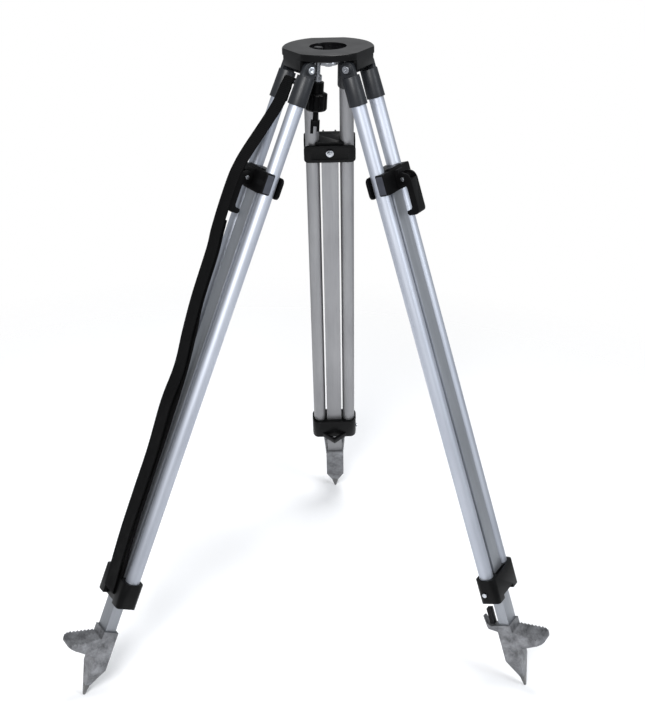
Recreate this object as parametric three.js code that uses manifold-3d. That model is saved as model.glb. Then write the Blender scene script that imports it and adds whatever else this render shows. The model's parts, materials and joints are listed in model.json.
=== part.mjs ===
// Surveyor tripod: flat round head with a swing-arm fixing screw, three folding telescopic legs
// (two round tubes, a sliding inner bar, a cam clamp, a pedal shoe each) and a webbing strap.
//
// Units are millimetres. The head is modelled with its top face at z = 0 and its axis on Z. Each leg is
// modelled in its own frame: origin on the hinge axis, +X away from the tripod's axis, +Y along the hinge
// axis, +Z up the leg. "Depth" below always means distance down a leg from its hinge axis.
// At the end the whole tripod is turned so that its three tips stand on one level plane at z = 0.

import * as THREE from 'three';
import { mergeVertices } from 'three/addons/utils/BufferGeometryUtils.js';
import Module from 'manifold-3d';

const wasm = await Module();
wasm.setup();

// ---- driving dimensions -------------------------------------------------------------------------

const GAP = 0.3; // running gap between neighbouring pieces
const MERGE = 1e-4; // vertices closer than this are one
const ROUND = 20; // sides of a small round piece
const SMOOTH = 36; // sides of a tube or sleeve
const FINE = 48; // sides of the head

// head
const HEAD_RADIUS = 79;
const HEAD_HOLE_RADIUS = 32;
const HEAD_THICKNESS = 12.5;
const HEAD_CHAMFER = 1.6;
const FLAT_DISTANCE = 72; // from the head's axis to each of its three flats
const LUG_HALF_WIDTH = 29.2;
const LUG_INNER_RADIUS = 45.5;
const LUG_ROUNDING = 11.2; // radius of the lug's lower edge about the hinge axis
const HINGE_RADIUS = 57; // from the head's axis to a hinge axis
const HINGE_DROP = 27.5; // from the top face down to the hinge axes

// swing arm and fixing screw
const ARM_PIVOT_Y = -62;
const ARM_END_RADIUS = 15.5;
const ARM_WIDTH = 26;
const ARM_THICKNESS = 5;
const ARM_SLOT_HALF_WIDTH = 5.7;
const ARM_SLOT_START = 38; // slot centres' distances from the pivot
const ARM_SLOT_END = 84;
const ARM_TIP = 98;
const ARM_PIN_RADIUS = 4;
const ARM_PIN_HEAD_RADIUS = 6.5;
const ARM_PIN_HEAD_HEIGHT = 3;
const ARM_PIN_DEPTH = 8; // how far the pin reaches up into the head
const SCREW_X = -17;
const SCREW_Y = -2;
const THREAD_RADIUS = 7.9; // 5/8 inch
const THREAD_LENGTH = 11;
const THREAD_PITCH = 2.3;
const THREAD_DEPTH = 0.9;
const SHAFT_RADIUS = 5;
const SHAFT_LENGTH = 36.5; // free shaft between thread and collar
const COLLAR_RADIUS = 8.2;
const COLLAR_LENGTH = 12.5;
const STUB_LENGTH = 14;
const NECK_RADIUS = 12.4;
const NECK_LENGTH = 18;
const KNOB_RADIUS = 19.6;
const KNOB_LENGTH = 31;
const KNOB_FLUTES = 10;
const KNOB_FLUTE_RADIUS = 2.2;
const WASHER_RADIUS = 12;
const WASHER_THICKNESS = 2;
const HOOK_ROD_RADIUS = 4.7;
const HOOK_ROD_LENGTH = 18.5;
const HOOK_BLOCK = { width: 16, depth: 11, height: 23 };
const HOOK_STEP = { width: 10, height: 4 };
const HOOK_NOTCH = { height: 13, half: 2.7 };

// legs: spread is the angle of each leg from the head's axis
const LEGS = [
  { name: 'back', azimuth: 90, spread: 22.5 },
  { name: 'left', azimuth: 210, spread: 24.1 },
  { name: 'right', azimuth: 330, spread: 16.8 },
];
const TUBE_OFFSET = 32; // from the leg's middle plane to a tube's axis
const TUBE_RADIUS = 13;
const TUBE_WALL = 1.5;
const TUBE_TOP = 20;
const TUBE_BOTTOM = 1000;
const SLEEVE_TOP = 13.3;
const SLEEVE_BOTTOM = 63;
const SLEEVE_TOP_RADIUS = 15.2;
const SLEEVE_BOTTOM_RADIUS = 16.2;
const EYE_RADIUS = 12.4;
const EYE_INNER = LUG_HALF_WIDTH + 0.4;
const EYE_OUTER = 38;
const BOSS_RADIUS = 9;
const BOSS_HEIGHT = 1.4;
const HINGE_BOLT_RADIUS = 4;
const HINGE_HEAD_RADIUS = 6.4;
const HINGE_HEAD_HEIGHT = 3.6;
const HINGE_SOCKET = { radius: 3.2, depth: 2.4 }; // the hexagon recess in the bolt's head

const BAR = { width: 32, thickness: 21, wall: 2, top: 190, bottom: 1095 };

const CLAMP_TOP = 181;
const CLAMP_BOTTOM = 224;
const CORE_HALF_WIDTH = 26;
const CORE_DEPTH = 13.7; // the core's faces, before and behind the tubes' centre plane
const PLATE = { halfWidth: 48, top: 187, bottom: 225, inner: -17.6, outer: -14, corner: 9 };
const PLATE_RECESS = { halfWidth: 34, top: 192.6, bottom: 218.2, depth: 1.2 };
const PLATE_SLOT = { halfWidth: 3.6, top: 194.2, bottom: 203, depth: 2.6 }; // over the bolt's nut
const YOKE = { halfWidth: 48, top: 184, bottom: 221.5, inner: 3.5, outer: 20.5, corner: 4 };
const YOKE_BOSS = { halfWidth: 9.6, top: 187, bottom: 220, outer: 28 };
const YOKE_SHELF = { halfWidth: 20, top: 181, bottom: 186, inner: 14.2, outer: 20 };
const CLAMP_BOLT = { depth: 204, radius: 3, eyeRadius: 5.1, eyeHalfWidth: 3.8, nutRadius: 5.8, nutHeight: 5 };
const NUT_FLANGE = { radius: 7.3, height: 1.4 };
const PIN = { offset: 34.5, radius: 2.5, headRadius: 3.5, headHeight: 1.6 };
const LEVER = { halfWidth: 13, cheek: 3, discRadius: 11.4, drumRadius: 6.2, outer: 50, inner: 39, skin: 4.5 };
const LEVER_HOOK = { top: 258, bottom: 268.5, tip: 27 };

const BRACKET = { halfWidth: 48.5, top: 962, bottom: 1012, inner: -19, outer: 20.5, corner: 13, lowCorner: 5.5 };
const BRACKET_BORE_BOTTOM = 1001;
const STRAP_SLOT = { inner: 12.7, outer: 17, halfWidth: 20.6 };
const STRAP_NOTCH_TOP = 989; // the strap wraps the outer wall above this depth
const PLAIN_NOTCH_TOP = 1004; // the same edge on a bracket without a strap
const VEE = { halfWidth: 27.5, tip: -40, wall: 5, top: 998.5, bottom: 1011 };
const BRACKET_SCREW = { depth: 991, offset: -3.5, radius: 2, headRadius: 4.4, headHeight: 2.6 };

const SHOE = { halfWidth: 19.5, inner: -15.5, outer: 14, top: 1073, shoulder: 1150, socketBottom: 1097 };
const SHOE_END = { depth: 1190, inner: -1, outer: 7.4, halfWidth: 7.3 };
const PEDAL = { top: 1086, slope: 0.27, length: 59, thickness: 8, heel: 1126, halfWidth: 18.5, endHalfWidth: 24.5 };
const PEDAL_RIBS = 9;
const PEDAL_RIB_HEIGHT = 3;
const PEDAL_CORNER = 12;
const TIP = { inset: 0.2, depth: 1212.4, offset: 1.4, half: 1.5 };
const FOOT_HOOK = {
  halfWidth: 12, tipHalfWidth: 2.5, base: 1077, baseBottom: 1093, elbow: -40, elbowBottom: 1087, tip: -47, tipTop: 1060,
};
const BUFFER = { inner: -34.6, outer: -25.6, halfWidth: 5.6, top: 1044, bottom: 1077.2, rib: 1.2, ribs: 4 };

// strap on the left leg: its middle line in the leg's own X (away from the leg) and depth
const STRAP_HALF_WIDTH = 18.5;
const STRAP_THICKNESS = 2.4;
const STRAP_BAR = { x: 8, depth: 26, radius: 2.5, halfLength: 19.8 };
const STRAP_LOOP_RADIUS = 3.2;
const STRAP_LOOP_HALF_WIDTH = 15.2;
const STRAP_ROUTE = [
  [12.2, 27], [13, 45], [16, 70], [24, 100], [43.2, 162], [49.6, 190], [52.4, 214], [52.6, 262],
  [50.6, 310], [47, 345], [45, 430], [40, 495], [33, 560], [35.5, 630], [30.5, 720], [30, 800],
  [29, 880], [26, 945], [23.6, 975],
];
const STRAP_RETURN = [
  [14.9, 975], [15.6, 950], [19.5, 890], [21.5, 780], [23.5, 640], [26, 560], [33, 490],
  [40.4, 430], [42.6, 350], [46, 312], [48.6, 284],
];
const STRAP_TURN = { x: 19.2, depth: 990.5, radius: 4.3 };
const STRAP_STEPS = 44;

// ---- materials ----------------------------------------------------------------------------------

const finish = (color, roughness, metalness) =>
  new THREE.MeshStandardMaterial({ color, roughness, metalness });

const MATERIALS = {
  head: finish(0x1d1e20, 0.4, 0.3),
  zinc: finish(0xc9ccd0, 0.3, 0.9),
  sleeve: finish(0x34373d, 0.45, 0.1),
  aluminium: finish(0xb9bec8, 0.35, 0.8),
  bar: finish(0x9b9da1, 0.45, 0.7),
  plastic: finish(0x101113, 0.5, 0.0),
  tab: finish(0x4a4d55, 0.5, 0.0),
  casting: finish(0x808283, 0.55, 0.7),
  steel: finish(0x8a8c8e, 0.4, 0.9),
  rubber: finish(0x17181a, 0.7, 0.0),
  webbing: finish(0x0c0d0f, 0.85, 0.0),
};

// ---- geometry helpers ---------------------------------------------------------------------------

function toSolid(geometry) {
  const bare = geometry.clone();
  bare.deleteAttribute('normal');
  bare.deleteAttribute('uv');
  const merged = mergeVertices(bare, MERGE);
  const mesh = new wasm.Mesh({
    numProp: 3,
    vertProperties: new Float32Array(merged.attributes.position.array),
    triVerts: new Uint32Array(merged.index.array),
  });
  return new wasm.Manifold(mesh);
}

function toGeometry(solid) {
  const mesh = solid.getMesh();
  const geometry = new THREE.BufferGeometry();
  geometry.setAttribute('position', new THREE.BufferAttribute(new Float32Array(mesh.vertProperties), 3));
  geometry.setIndex(new THREE.BufferAttribute(new Uint32Array(mesh.triVerts), 1));
  return geometry;
}

/** Joins the geometries in `add`, then cuts those in `remove`, and optionally keeps only what is in `keep`. */
function shape({ add, remove = [], keep = [] }) {
  let solid = toSolid(add[0]);
  for (const geometry of add.slice(1)) {
    solid = solid.add(toSolid(geometry));
  }
  for (const geometry of keep) {
    solid = solid.intersect(toSolid(geometry));
  }
  for (const geometry of remove) {
    solid = solid.subtract(toSolid(geometry));
  }
  return toGeometry(solid);
}

function block([x0, x1], [y0, y1], [z0, z1]) {
  const geometry = new THREE.BoxGeometry(x1 - x0, y1 - y0, z1 - z0);
  return geometry.translate((x0 + x1) / 2, (y0 + y1) / 2, (z0 + z1) / 2);
}

/** A round bar along Z from z0 to z1, with its own radius at each end. */
function barZ(radius, z0, z1, { x = 0, y = 0, sides = ROUND, topRadius = radius } = {}) {
  const geometry = new THREE.CylinderGeometry(topRadius, radius, z1 - z0, sides);
  geometry.rotateX(Math.PI / 2);
  return geometry.translate(x, y, (z0 + z1) / 2);
}

/** A round bar along Y from y0 to y1. */
function barY(radius, y0, y1, { x = 0, z = 0, sides = ROUND } = {}) {
  const geometry = new THREE.CylinderGeometry(radius, radius, y1 - y0, sides);
  return geometry.translate(x, (y0 + y1) / 2, z);
}

/** A round bar along X from x0 to x1. */
function barX(radius, x0, x1, { y = 0, z = 0, sides = ROUND } = {}) {
  const geometry = new THREE.CylinderGeometry(radius, radius, x1 - x0, sides);
  geometry.rotateZ(Math.PI / 2);
  return geometry.translate((x0 + x1) / 2, y, z);
}

/** Extrudes an outline of (x, y) along Z from z0 to z1. */
function plateZ(outline, z0, z1) {
  const geometry = new THREE.ExtrudeGeometry(outline, { depth: z1 - z0, bevelEnabled: false, curveSegments: 5 });
  return geometry.translate(0, 0, z0);
}

/** Extrudes an outline of (x, z) along Y from y0 to y1. */
function plateY(outline, y0, y1) {
  const geometry = new THREE.ExtrudeGeometry(outline, { depth: y1 - y0, bevelEnabled: false, curveSegments: 5 });
  geometry.rotateX(Math.PI / 2);
  return geometry.translate(0, y1, 0);
}

/** Extrudes an outline of (y, z) along X from x0 to x1. */
function plateX(outline, x0, x1) {
  const geometry = new THREE.ExtrudeGeometry(outline, { depth: x1 - x0, bevelEnabled: false, curveSegments: 5 });
  geometry.applyMatrix4(new THREE.Matrix4().set(0, 0, 1, 0, 1, 0, 0, 0, 0, 1, 0, 0, 0, 0, 0, 1));
  return geometry.translate(x0, 0, 0);
}

function outlineOf(points) {
  return new THREE.Shape(points.map(([a, b]) => new THREE.Vector2(a, b)));
}

function roundedRectangle([a0, a1], [b0, b1], radius) {
  const outline = new THREE.Shape();
  outline.moveTo(a0 + radius, b0);
  outline.lineTo(a1 - radius, b0);
  outline.absarc(a1 - radius, b0 + radius, radius, -Math.PI / 2, 0);
  outline.lineTo(a1, b1 - radius);
  outline.absarc(a1 - radius, b1 - radius, radius, 0, Math.PI / 2);
  outline.lineTo(a0 + radius, b1);
  outline.absarc(a0 + radius, b1 - radius, radius, Math.PI / 2, Math.PI);
  outline.lineTo(a0, b0 + radius);
  outline.absarc(a0 + radius, b0 + radius, radius, Math.PI, Math.PI * 1.5);
  return outline;
}

/** A block whose rectangle changes from `top` at zTop to `bottom` at zBottom; each is [[x0, x1], [y0, y1]]. */
function taperedBlock(top, zTop, bottom, zBottom) {
  const corners = ([[x0, x1], [y0, y1]], z) => [x0, y0, z, x1, y0, z, x1, y1, z, x0, y1, z];
  const geometry = new THREE.BufferGeometry();
  const positions = [...corners(bottom, zBottom), ...corners(top, zTop)];
  geometry.setAttribute('position', new THREE.Float32BufferAttribute(positions, 3));
  const faces = [[0, 2, 1], [0, 3, 2], [4, 5, 6], [4, 6, 7]];
  for (let side = 0; side < 4; side += 1) {
    const next = (side + 1) % 4;
    faces.push([side, next, next + 4], [side, next + 4, side + 4]);
  }
  geometry.setIndex(faces.flat());
  return geometry;
}

/** Two round bores on the leg's tube axes. */
function tubePair(radius, z0, z1) {
  return [-TUBE_OFFSET, TUBE_OFFSET].map((y) => barZ(radius, z0, z1, { y }));
}

// ---- head ---------------------------------------------------------------------------------------

const radians = THREE.MathUtils.degToRad;

function headPlate() {
  const low = -HEAD_THICKNESS;
  const rim = [
    [0, low], [HEAD_RADIUS - HEAD_CHAMFER, low], [HEAD_RADIUS, low + HEAD_CHAMFER],
    [HEAD_RADIUS, -HEAD_CHAMFER], [HEAD_RADIUS - HEAD_CHAMFER, 0], [0, 0],
  ];
  const disc = new THREE.LatheGeometry(rim.map(([r, z]) => new THREE.Vector2(r, z)), FINE);
  disc.rotateX(Math.PI / 2);
  const add = [disc];
  const remove = [
    barZ(HEAD_HOLE_RADIUS, low - 1, 1, { sides: FINE }),
    barZ(ARM_PIN_RADIUS + GAP, low - 1, low + ARM_PIN_DEPTH + GAP, { y: ARM_PIVOT_Y }),
  ];
  for (const { azimuth } of LEGS) {
    const turn = (geometry) => geometry.rotateZ(radians(azimuth));
    add.push(turn(lug()));
    remove.push(turn(block([FLAT_DISTANCE, HEAD_RADIUS + 1], [-HEAD_RADIUS, HEAD_RADIUS], [low - 40, 1])));
    const bore = barY(HINGE_BOLT_RADIUS + GAP, -HEAD_RADIUS, HEAD_RADIUS, { x: HINGE_RADIUS, z: -HINGE_DROP });
    remove.push(turn(bore));
  }
  return shape({ add, remove });
}

/** One hinge lug: flush with the flat above it, its lower edge rounded about the hinge axis. */
function lug() {
  const outline = new THREE.Shape();
  outline.moveTo(LUG_INNER_RADIUS, -HEAD_THICKNESS + 2);
  outline.lineTo(LUG_INNER_RADIUS, -HINGE_DROP);
  outline.absarc(HINGE_RADIUS, -HINGE_DROP, LUG_ROUNDING, Math.PI, Math.PI * 1.8);
  outline.lineTo(FLAT_DISTANCE, -HINGE_DROP - 1);
  outline.lineTo(FLAT_DISTANCE, -HEAD_THICKNESS + 2);
  return plateY(outline, -LUG_HALF_WIDTH, LUG_HALF_WIDTH);
}

const ARM_TOP = -HEAD_THICKNESS - GAP;
const ARM_ANGLE = Math.atan2(-SCREW_X, SCREW_Y - ARM_PIVOT_Y);

/** The arm lies along +Y from its pivot at the origin. */
function swingArm() {
  const half = ARM_WIDTH / 2;
  const bar = roundedRectangle([-half, half], [0, ARM_TIP], half - 1);
  const slot = roundedRectangle(
    [-ARM_SLOT_HALF_WIDTH, ARM_SLOT_HALF_WIDTH],
    [ARM_SLOT_START - ARM_SLOT_HALF_WIDTH, ARM_SLOT_END + ARM_SLOT_HALF_WIDTH],
    ARM_SLOT_HALF_WIDTH - 0.01,
  );
  const low = ARM_TOP - ARM_THICKNESS;
  return shape({
    add: [plateZ(bar, low, ARM_TOP), barZ(ARM_END_RADIUS, low, ARM_TOP)],
    remove: [plateZ(slot, low - 1, ARM_TOP + 1), barZ(ARM_PIN_RADIUS + GAP, low - 1, ARM_TOP + 1)],
  });
}

function armPivotPin() {
  const headTop = ARM_TOP - ARM_THICKNESS - GAP;
  return shape({
    add: [
      barZ(ARM_PIN_RADIUS, headTop - 1, -HEAD_THICKNESS + ARM_PIN_DEPTH),
      barZ(ARM_PIN_HEAD_RADIUS, headTop - ARM_PIN_HEAD_HEIGHT, headTop, { sides: 6 }),
    ],
  });
}

// the fixing screw's pieces are modelled about their own axis, z = 0 at the thread's lower end

function fixingScrew() {
  const profile = [[0, THREAD_LENGTH]];
  const turns = Math.floor((THREAD_LENGTH - 1) / THREAD_PITCH);
  for (let turn = 0; turn < turns; turn += 1) {
    const z = THREAD_LENGTH - turn * THREAD_PITCH;
    profile.push([THREAD_RADIUS - THREAD_DEPTH, z], [THREAD_RADIUS, z - THREAD_PITCH / 2]);
  }
  const shaftEnd = -SHAFT_LENGTH;
  const collarEnd = shaftEnd - COLLAR_LENGTH;
  profile.push(
    [THREAD_RADIUS - THREAD_DEPTH, 0], [SHAFT_RADIUS, 0], [SHAFT_RADIUS, shaftEnd],
    [COLLAR_RADIUS - 1.5, shaftEnd], [COLLAR_RADIUS, shaftEnd - 1.5], [COLLAR_RADIUS, collarEnd],
    [SHAFT_RADIUS, collarEnd], [SHAFT_RADIUS, collarEnd - STUB_LENGTH], [0, collarEnd - STUB_LENGTH],
  );
  const points = profile.reverse().map(([r, z]) => new THREE.Vector2(r, z));
  return new THREE.LatheGeometry(points, ROUND).rotateX(Math.PI / 2);
}

const NECK_TOP = -SHAFT_LENGTH - COLLAR_LENGTH - GAP;
const KNOB_TOP = NECK_TOP - NECK_LENGTH;
const KNOB_BOTTOM = KNOB_TOP - KNOB_LENGTH;

function screwKnob() {
  const flutes = [];
  for (let flute = 0; flute < KNOB_FLUTES; flute += 1) {
    const angle = (flute * 2 * Math.PI) / KNOB_FLUTES;
    const x = KNOB_RADIUS * Math.cos(angle);
    const y = KNOB_RADIUS * Math.sin(angle);
    flutes.push(barZ(KNOB_FLUTE_RADIUS, KNOB_BOTTOM - 1, KNOB_TOP + 1, { x, y, sides: 10 }));
  }
  const shoulder = 3;
  return shape({
    add: [
      barZ(NECK_RADIUS, KNOB_TOP - 1, NECK_TOP),
      barZ(KNOB_RADIUS, KNOB_TOP - shoulder, KNOB_TOP, { topRadius: NECK_RADIUS + 2 }),
      barZ(KNOB_RADIUS, KNOB_BOTTOM + shoulder, KNOB_TOP - shoulder),
      barZ(KNOB_RADIUS - 2, KNOB_BOTTOM, KNOB_BOTTOM + shoulder, { topRadius: KNOB_RADIUS }),
    ],
    remove: [...flutes, barZ(SHAFT_RADIUS + GAP, NECK_TOP - STUB_LENGTH - GAP, NECK_TOP + 1)],
  });
}

function plumbHook() {
  const top = KNOB_BOTTOM - GAP;
  const blockTop = top - HOOK_ROD_LENGTH;
  const low = blockTop - HOOK_BLOCK.height;
  const half = HOOK_BLOCK.width / 2;
  const halfDepth = HOOK_BLOCK.depth / 2;
  return shape({
    add: [
      barZ(HOOK_ROD_RADIUS, blockTop - 1, top),
      block([-half, half], [-halfDepth, halfDepth], [low, blockTop]),
    ],
    remove: [
      block([half - HOOK_STEP.width, half + 1], [-halfDepth - 1, halfDepth + 1], [low - 1, low + HOOK_STEP.height]),
      block([-HOOK_NOTCH.half, HOOK_NOTCH.half], [-halfDepth - 1, halfDepth + 1], [low - 1, low + HOOK_NOTCH.height]),
    ],
  });
}

// ---- one leg ------------------------------------------------------------------------------------

function tube() {
  const profile = [
    [TUBE_RADIUS - TUBE_WALL, -TUBE_BOTTOM], [TUBE_RADIUS, -TUBE_BOTTOM],
    [TUBE_RADIUS, -TUBE_TOP], [TUBE_RADIUS - TUBE_WALL, -TUBE_TOP], [TUBE_RADIUS - TUBE_WALL, -TUBE_BOTTOM],
  ];
  const points = profile.map(([r, z]) => new THREE.Vector2(r, z));
  return new THREE.LatheGeometry(points, SMOOTH).rotateX(Math.PI / 2);
}

/** The hinge sleeve on the tube at +Y: an eye on the hinge axis above a draughted socket. */
function hingeSleeve({ barBore = false } = {}) {
  const remove = [
    barZ(TUBE_RADIUS + GAP, -SLEEVE_BOTTOM - 1, -TUBE_TOP + GAP, { y: TUBE_OFFSET, sides: SMOOTH }),
    barY(HINGE_BOLT_RADIUS + GAP, 0, TUBE_OFFSET * 2),
  ];
  if (barBore) {
    const { x, depth, radius, halfLength } = STRAP_BAR;
    remove.push(barY(radius + GAP, 0, halfLength + GAP, { x, z: -depth, sides: 16 }));
  }
  const socket = { y: TUBE_OFFSET, topRadius: SLEEVE_TOP_RADIUS, sides: SMOOTH };
  return shape({
    add: [
      barZ(SLEEVE_BOTTOM_RADIUS, -SLEEVE_BOTTOM, -SLEEVE_TOP, socket),
      barY(EYE_RADIUS, EYE_INNER, EYE_OUTER),
      block([-EYE_RADIUS, EYE_RADIUS], [EYE_INNER, EYE_OUTER], [-SLEEVE_TOP - 3, 0]),
      barY(BOSS_RADIUS, EYE_OUTER - 1, EYE_OUTER + BOSS_HEIGHT),
    ],
    remove,
  });
}

/** The through bolt of a hinge: a round head with a hexagon recess at each end. */
function hingeBolt() {
  const face = EYE_OUTER + BOSS_HEIGHT + GAP;
  const end = face + HINGE_HEAD_HEIGHT;
  const { radius, depth } = HINGE_SOCKET;
  return shape({
    add: [
      barY(HINGE_BOLT_RADIUS, -end, end),
      barY(HINGE_HEAD_RADIUS, face, end),
      barY(HINGE_HEAD_RADIUS, -end, -face),
    ],
    remove: [
      barY(radius, end - depth, end + 1, { sides: 6 }),
      barY(radius, -end - 1, depth - end, { sides: 6 }),
    ],
  });
}

function innerBar() {
  const halfWidth = BAR.width / 2;
  const half = BAR.thickness / 2;
  const ends = [-BAR.bottom, -BAR.top];
  const hollow = [[BAR.wall - half, half - BAR.wall], [BAR.wall - halfWidth, halfWidth - BAR.wall]];
  return shape({
    add: [block([-half, half], [-halfWidth, halfWidth], ends)],
    remove: [
      block(...hollow, [-BAR.bottom - 1, -BAR.top + 1]),
      barX(CLAMP_BOLT.radius + GAP, -half - 1, half + 1, { z: -CLAMP_BOLT.depth, sides: 16 }),
    ],
  });
}

/** The clamp's core between the two tubes: it is fixed on the top of the bar. */
function clampCore() {
  const halfWidth = BAR.width / 2 + GAP;
  const half = BAR.thickness / 2 + GAP;
  return shape({
    add: [block([-CORE_DEPTH, CORE_DEPTH], [-CORE_HALF_WIDTH, CORE_HALF_WIDTH], [-CLAMP_BOTTOM, -CLAMP_TOP])],
    remove: [
      ...tubePair(TUBE_RADIUS + 0.5, -CLAMP_BOTTOM - 1, -CLAMP_TOP + 1),
      block([-half, half], [-halfWidth, halfWidth], [-CLAMP_BOTTOM - 1, -BAR.top + GAP]),
      barX(CLAMP_BOLT.radius + GAP, -CORE_DEPTH - 1, CORE_DEPTH + 1, { z: -CLAMP_BOLT.depth, sides: 16 }),
    ],
  });
}

/** The flat plate that closes the clamp on the tripod's inner side. */
function clampPlate() {
  const outline = roundedRectangle(
    [-PLATE.halfWidth, PLATE.halfWidth], [-PLATE.bottom, -PLATE.top], PLATE.corner,
  );
  const pocket = ({ halfWidth, top, bottom, depth }) =>
    block([PLATE.inner - 1, PLATE.inner + depth], [-halfWidth, halfWidth], [-bottom, -top]);
  return shape({
    add: [plateX(outline, PLATE.inner, PLATE.outer)],
    remove: [
      pocket(PLATE_RECESS),
      pocket(PLATE_SLOT),
      barX(CLAMP_BOLT.radius + GAP, PLATE.inner - 1, PLATE.outer + 1, { z: -CLAMP_BOLT.depth, sides: 16 }),
    ],
  });
}

/** The outer jaw: it wraps the outer sides of both tubes and carries the cam lever's bearing boss. */
function clampYoke() {
  const outline = roundedRectangle(
    [-YOKE.halfWidth, YOKE.halfWidth], [-YOKE.bottom, -YOKE.top], YOKE.corner,
  );
  const { halfWidth, top, bottom, outer } = YOKE_BOSS;
  const shelf = YOKE_SHELF;
  return shape({
    add: [
      plateX(outline, YOKE.inner, YOKE.outer),
      block([YOKE.outer - 1, outer], [-halfWidth, halfWidth], [-bottom, -top]),
      block([shelf.inner, shelf.outer], [-shelf.halfWidth, shelf.halfWidth], [-shelf.bottom, -shelf.top]),
    ],
    remove: [
      ...tubePair(TUBE_RADIUS + 0.5, -YOKE.bottom - 1, -CLAMP_TOP),
      block([0, CORE_DEPTH + GAP], [-CORE_HALF_WIDTH - GAP, CORE_HALF_WIDTH + GAP], [-YOKE.bottom - 1, -CLAMP_TOP]),
      barX(CLAMP_BOLT.radius + GAP, 0, outer + 1, { z: -CLAMP_BOLT.depth, sides: 16 }),
    ],
  });
}

/** The clamp bolt: flanged nut behind the plate, shank through the clamp, eye on the lever's pin. */
function clampBolt() {
  const z = -CLAMP_BOLT.depth;
  const nutFace = PLATE.inner + PLATE_RECESS.depth - GAP;
  const eye = CLAMP_BOLT.eyeHalfWidth;
  return shape({
    add: [
      barX(CLAMP_BOLT.radius, nutFace - CLAMP_BOLT.nutHeight - 1.5, PIN.offset, { z, sides: 16 }),
      barX(CLAMP_BOLT.nutRadius, nutFace - CLAMP_BOLT.nutHeight, nutFace, { z, sides: 6 }),
      barX(NUT_FLANGE.radius, nutFace - NUT_FLANGE.height, nutFace, { z }),
      barY(CLAMP_BOLT.eyeRadius, -eye, eye, { x: PIN.offset, z, sides: 20 }),
    ],
    remove: [barY(PIN.radius + GAP, -eye - 1, eye + 1, { x: PIN.offset, z, sides: 16 })],
  });
}

function leverPin() {
  const end = LEVER.halfWidth + GAP;
  const place = { x: PIN.offset, z: -CLAMP_BOLT.depth, sides: 16 };
  return shape({
    add: [
      barY(PIN.radius, -end - PIN.headHeight, end + PIN.headHeight, place),
      barY(PIN.headRadius, end, end + PIN.headHeight, place),
      barY(PIN.headRadius, -end - PIN.headHeight, -end, place),
    ],
  });
}

/** The outline of the lever seen along its pin, as (x, z): a disc on the pin and a handle with a hooked end. */
function leverOutline({ channel }) {
  const z = -CLAMP_BOLT.depth;
  const outline = new THREE.Shape();
  const inner = channel ? LEVER.outer - LEVER.skin : LEVER.inner;
  if (channel) {
    outline.moveTo(LEVER.outer, z - 2);
  } else {
    outline.absarc(PIN.offset, z, LEVER.discRadius, -Math.PI * 0.45, Math.PI * 0.3, true);
    outline.quadraticCurveTo(LEVER.outer - 2, z + 7, LEVER.outer, z - 4);
  }
  outline.lineTo(LEVER.outer, -LEVER_HOOK.bottom + 8);
  outline.quadraticCurveTo(LEVER.outer, -LEVER_HOOK.bottom, LEVER.outer - 8, -LEVER_HOOK.bottom);
  outline.lineTo(LEVER_HOOK.tip + 3, -LEVER_HOOK.bottom);
  outline.lineTo(LEVER_HOOK.tip, -LEVER_HOOK.bottom + 4);
  outline.lineTo(LEVER_HOOK.tip + 1, -LEVER_HOOK.top - 2);
  outline.lineTo(inner - 2, -LEVER_HOOK.top);
  outline.lineTo(inner, -LEVER_HOOK.top + 4);
  outline.lineTo(inner, channel ? z - 2 : z - 16);
  return outline;
}

function camLever() {
  const z = -CLAMP_BOLT.depth;
  const eyeSlot = CLAMP_BOLT.eyeHalfWidth + GAP;
  const { halfWidth, cheek, drumRadius } = LEVER;
  const full = leverOutline({ channel: false });
  const skin = leverOutline({ channel: true });
  return shape({
    add: [
      plateY(full, halfWidth - cheek, halfWidth),
      plateY(full, -halfWidth, cheek - halfWidth),
      plateY(skin, cheek - halfWidth - 0.5, halfWidth - cheek + 0.5),
      barY(drumRadius, cheek - halfWidth - 0.5, halfWidth - cheek + 0.5, { x: PIN.offset, z }),
    ],
    remove: [
      barY(PIN.radius + GAP, -halfWidth - 1, halfWidth + 1, { x: PIN.offset, z, sides: 16 }),
      block([0, LEVER.outer - LEVER.skin], [-eyeSlot, eyeSlot], [z - 12, z + 12]),
    ],
  });
}

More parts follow.
